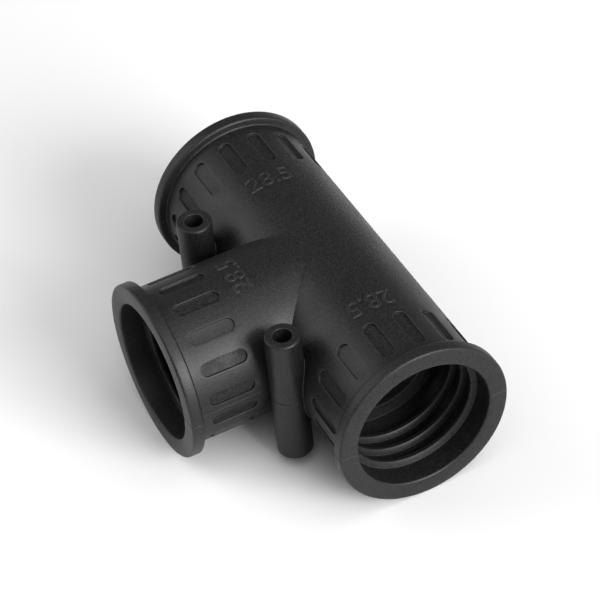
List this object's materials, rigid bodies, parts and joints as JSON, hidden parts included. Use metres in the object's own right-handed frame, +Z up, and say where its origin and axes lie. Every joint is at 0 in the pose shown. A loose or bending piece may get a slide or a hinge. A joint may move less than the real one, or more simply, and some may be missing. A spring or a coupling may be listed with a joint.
{
  "type": "tee fitting",
  "caption": "Black clamshell tee for corrugated conduit: two half shells with ribbed sockets and flanged ports, held by screws down wells in the corner bosses.",
  "frame": {"origin": "bottom centre of the bounding box, on the surface that the three flange rims rest on", "axes": "+X along the run from the left port to the right port, -Y out of the branch port, +Z up out of the parting plane"},
  "size_m": [0.0856, 0.0588, 0.038],
  "materials": {
    "black_plastic": "black moulded polyamide, satin with a fine spark-eroded grain",
    "zinc_steel": "zinc-plated steel"
  },
  "bodies": {
    "base": {"lower_shell": "black_plastic"},
    "cover": {"upper_shell": "black_plastic"},
    "left_screw": {"screw_left": "zinc_steel"},
    "right_screw": {"screw_right": "zinc_steel"}
  },
  "joints": [
    {"name": "cover_lift", "type": "slide", "parent": "base", "child": "cover", "axis": [0, 0, 1], "range_m": [0, 0.05]},
    {"name": "screw_left_out", "type": "slide", "parent": "cover", "child": "left_screw", "axis": [0, 0, 1], "range_m": [0, 0.025]},
    {"name": "screw_right_out", "type": "slide", "parent": "cover", "child": "right_screw", "axis": [0, 0, 1], "range_m": [0, 0.025]}
  ]
}
